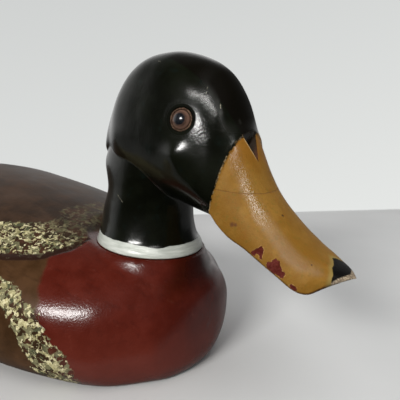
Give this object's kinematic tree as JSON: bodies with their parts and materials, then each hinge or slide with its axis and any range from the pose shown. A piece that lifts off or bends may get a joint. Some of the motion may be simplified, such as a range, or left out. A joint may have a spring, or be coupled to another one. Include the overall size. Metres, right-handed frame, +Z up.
{
  "type": "floating duck decoy",
  "caption": "Hollow carved duck decoy with a flat base, a turning head and neck on a tilted seat, glass eyes, a bottom board with inlet ballast and an anchor-line ring.",
  "frame": {"origin": "on the flat underside, at the middle of the inlet ballast pad, on the centre plane", "axes": "+X towards the bill, +Y to the duck's left, +Z up; the head is straight ahead at rest"},
  "size_m": [0.4245, 0.166, 0.1688],
  "materials": {
    "body_paint": "satin aged paint on carved wood: maroon breast, brown back and flanks, cream speckle",
    "head_paint": "gloss greenish-black paint on carved wood, white neck ring, ochre bill with a black nail",
    "board_wood": "dull brown paint, worn",
    "brass_screw": "tarnished",
    "lead": "dull oxidised lead",
    "tie_wire": "tarnished wire",
    "eye_glass": "polished, painted behind",
    "putty": "painted filler, cracked",
    "steel_wire": "drawn wire",
    "steel_hardware": "zinc plated, dulled",
    "brass_nut": "cast, dulled"
  },
  "bodies": {
    "body": {"body_shell": "body_paint", "bottom_board": "board_wood", "board_screw_1": "brass_screw", "board_screw_2": "brass_screw", "board_screw_3": "brass_screw", "board_screw_4": "brass_screw", "board_screw_5": "brass_screw", "board_screw_6": "brass_screw", "board_screw_7": "brass_screw", "board_screw_8": "brass_screw", "ballast_weight": "lead", "ballast_screw_1": "brass_screw", "ballast_screw_2": "brass_screw", "tie_staple": "tie_wire"},
    "head": {"head_block": "head_paint", "head_bolt": "steel_hardware", "eye_glass_left": "eye_glass", "eye_putty_left": "putty", "eye_wire_left": "steel_wire", "eye_glass_right": "eye_glass", "eye_putty_right": "putty", "eye_wire_right": "steel_wire"},
    "washer": {"bolt_washer": "steel_hardware"},
    "nut": {"wing_nut": "brass_nut"},
    "ring": {"tie_ring": "tie_wire"}
  },
  "joints": [
    {"name": "head_turn", "type": "hinge", "parent": "body", "child": "head", "pos_m": [0.105, 0, 0.066], "axis": [0.0698, 0, 0.9976], "range_deg": [-90, 90]},
    {"name": "washer_drop", "type": "slide", "parent": "head", "child": "washer", "axis": [-0.0698, 0, -0.9976], "range_m": [0, 0.00382]},
    {"name": "nut_turn", "type": "hinge", "parent": "washer", "child": "nut", "pos_m": [0.105, 0, 0.066], "axis": [-0.0698, 0, -0.9976], "range_deg": [0, 1080]},
    {"name": "ring_swing", "type": "hinge", "parent": "body", "child": "ring", "pos_m": [0.05, 0, 0.0049], "axis": [-1, 0, 0], "range_deg": [0, 180]}
  ],
  "couplings": [
    {"joint": "washer_drop", "follows": "nut_turn", "m_per_rad": 0.00020213}
  ]
}
